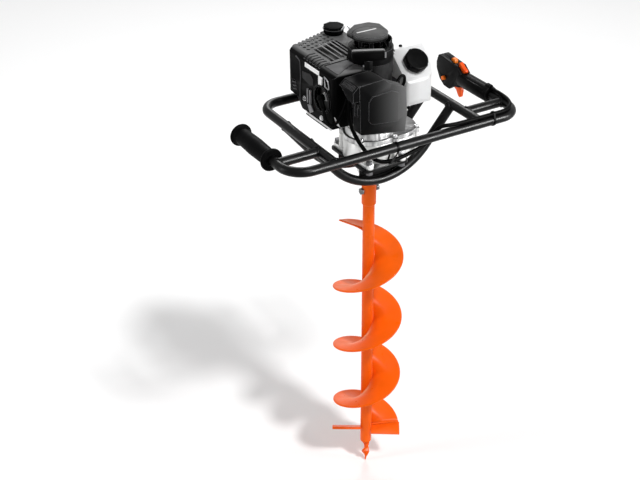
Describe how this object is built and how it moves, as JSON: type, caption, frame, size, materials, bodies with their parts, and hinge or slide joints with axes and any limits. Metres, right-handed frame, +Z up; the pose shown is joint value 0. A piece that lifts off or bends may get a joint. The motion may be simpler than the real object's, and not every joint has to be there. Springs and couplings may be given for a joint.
{
  "type": "earth auger",
  "caption": "Petrol earth auger: tube handle frame with throttle grip, small two-stroke engine, reduction gearbox and a spiral digging bit.",
  "frame": {"origin": "point of the spiral bit, on the drive axis", "axes": "+Z up the bit towards the engine, +X to the throttle side, +Y away from the front crossbar"},
  "size_m": [0.5595, 0.3362, 1.06],
  "materials": {
    "orange_paint": "satin orange powder coat",
    "black_paint": "satin black powder coat",
    "zinc_steel": "bright zinc plate",
    "gear_steel": "hardened steel",
    "cast_aluminium": "fine cast aluminium",
    "black_casting": "black painted casting",
    "black_plastic": "moulded black nylon",
    "orange_plastic": "moulded orange plastic",
    "white_tank": "blow-moulded translucent polyethylene",
    "black_rubber": "moulded rubber",
    "muffler_steel": "heat-dulled sheet steel",
    "ceramic": "glazed white insulator",
    "clear_bulb": "clear soft plastic"
  },
  "bodies": {
    "frame": {"front_handlebar": "black_paint", "rear_loop": "black_paint", "front_cradle_tube": "black_paint", "rear_cradle_tube": "black_paint", "side_braces": "black_paint", "mount_plate": "black_paint", "frame_bolts": "zinc_steel", "left_grip": "black_rubber", "throttle_shell_inner": "black_plastic", "throttle_shell_outer": "black_plastic", "throttle_cable": "black_rubber", "cable_ties": "black_plastic", "gearbox_case": "cast_aluminium", "gearbox_cover": "cast_aluminium", "gearbox_screws": "zinc_steel", "gearbox_bearings": "gear_steel", "output_seal": "black_rubber", "clutch_housing": "cast_aluminium", "crankcase": "black_casting", "crank_bearings": "gear_steel", "engine_cylinder": "cast_aluminium", "cylinder_shroud": "black_plastic", "muffler": "muffler_steel", "exhaust_cap": "black_plastic", "spark_plug": "ceramic", "plug_cap": "black_rubber", "ignition_lead": "black_rubber", "ignition_coil": "black_plastic", "carburettor": "cast_aluminium", "air_filter_base": "black_plastic", "fuel_tank": "white_tank", "fuel_line": "black_rubber", "starter_housing": "black_plastic"},
    "bit": {"bit_shaft": "orange_paint", "bit_flight": "orange_paint", "cutting_blades": "orange_paint", "bit_point": "orange_paint", "retaining_bolt": "zinc_steel", "output_shaft": "gear_steel", "output_gear": "gear_steel"},
    "countershaft": {"counter_shaft": "gear_steel", "counter_gear": "gear_steel"},
    "clutch_output": {"input_pinion": "gear_steel", "clutch_drum": "gear_steel"},
    "crank": {"crankshaft": "gear_steel", "flywheel": "cast_aluminium"},
    "left_shoe": {"clutch_shoe_left": "gear_steel"},
    "right_shoe": {"clutch_shoe_right": "gear_steel"},
    "trigger": {"throttle_trigger": "orange_plastic"},
    "lockout": {"trigger_lockout": "orange_plastic"},
    "switch": {"stop_switch": "orange_plastic"},
    "hold_button": {"throttle_hold_button": "orange_plastic"},
    "carburettor_cam": {"throttle_cam": "zinc_steel"},
    "choke": {"choke_lever": "black_plastic"},
    "primer": {"primer_bulb": "clear_bulb"},
    "filter_cover": {"air_filter_cover": "black_plastic"},
    "latch": {"filter_latch": "black_plastic"},
    "tank_cap": {"fuel_cap": "black_plastic"},
    "rope_pulley": {"starter_pulley": "black_plastic"},
    "rope_handle": {"pull_handle": "black_plastic"}
  },
  "joints": [
    {"name": "bit_spin", "type": "hinge", "parent": "frame", "child": "bit", "pos_m": [0, 0, 0.762], "axis": [0, 0, 1], "continuous": true},
    {"name": "countershaft_spin", "type": "hinge", "parent": "frame", "child": "countershaft", "pos_m": [0.05, 0, 0.806], "axis": [0, 0, 1], "continuous": true},
    {"name": "clutch_output_spin", "type": "hinge", "parent": "frame", "child": "clutch_output", "pos_m": [0, 0, 0.873], "axis": [0, 0, 1], "continuous": true},
    {"name": "crank_spin", "type": "hinge", "parent": "frame", "child": "crank", "pos_m": [0, 0, 0.905], "axis": [0, 0, 1], "continuous": true},
    {"name": "left_shoe_slide", "type": "slide", "parent": "crank", "child": "left_shoe", "axis": [-1, 0, 0], "range_m": [0, 0.0008], "stiffness_N_per_m": 4000},
    {"name": "right_shoe_slide", "type": "slide", "parent": "crank", "child": "right_shoe", "axis": [1, 0, 0], "range_m": [0, 0.0008], "stiffness_N_per_m": 4000},
    {"name": "trigger_pull", "type": "hinge", "parent": "frame", "child": "trigger", "pos_m": [0.26, 0.07, 0.877], "axis": [-1, 0, 0], "range_deg": [0, 20], "stiffness_Nm_per_rad": 0.5, "springref_deg": -11.46},
    {"name": "lockout_press", "type": "hinge", "parent": "frame", "child": "lockout", "pos_m": [0.26, 0.053, 0.902], "axis": [1, 0, 0], "range_deg": [0, 8], "stiffness_Nm_per_rad": 0.3, "springref_deg": -11.46},
    {"name": "stop_switch_slide", "type": "slide", "parent": "frame", "child": "switch", "axis": [0, 1, 0], "range_m": [0, 0.005]},
    {"name": "hold_button_press", "type": "slide", "parent": "frame", "child": "hold_button", "axis": [1, 0, 0], "range_m": [0, 0.003], "stiffness_N_per_m": 800, "springref_m": -0.001},
    {"name": "throttle_cam_turn", "type": "hinge", "parent": "frame", "child": "carburettor_cam", "pos_m": [-0.05, -0.063, 0.975], "axis": [0, 0, 1], "range_deg": [0, 72]},
    {"name": "choke_turn", "type": "hinge", "parent": "frame", "child": "choke", "pos_m": [-0.068, -0.072, 0.963], "axis": [1, 0, 0], "range_deg": [0, 75]},
    {"name": "primer_press", "type": "slide", "parent": "frame", "child": "primer", "axis": [0, 0, 1], "range_m": [0, 0.003], "stiffness_N_per_m": 600},
    {"name": "filter_cover_slide", "type": "slide", "parent": "frame", "child": "filter_cover", "axis": [0, -1, 0], "range_m": [0, 0.026]},
    {"name": "filter_latch_swing", "type": "hinge", "parent": "filter_cover", "child": "latch", "pos_m": [-0.0954, -0.095, 0.962], "axis": [0, 0, -1], "range_deg": [0, 80]},
    {"name": "fuel_cap_turn", "type": "hinge", "parent": "frame", "child": "tank_cap", "pos_m": [0.083, -0.0275, 0.991], "axis": [0, -0.6441, 0.7649], "continuous": true},
    {"name": "starter_pull", "type": "slide", "parent": "frame", "child": "rope_handle", "axis": [0, 0, 1], "range_m": [0, 0.03], "stiffness_N_per_m": 60, "springref_m": -0.05},
    {"name": "starter_pulley_turn", "type": "hinge", "parent": "frame", "child": "rope_pulley", "pos_m": [0, 0, 1.02], "axis": [0, 0, 1], "range_deg": [0, 120]}
  ],
  "couplings": [
    {"joint": "countershaft_spin", "follows": "bit_spin", "ratio": -4},
    {"joint": "clutch_output_spin", "follows": "bit_spin", "ratio": 28},
    {"joint": "throttle_cam_turn", "follows": "trigger_pull", "ratio": 3.5},
    {"joint": "starter_pulley_turn", "follows": "starter_pull", "rad_per_m": 62.5}
  ]
}
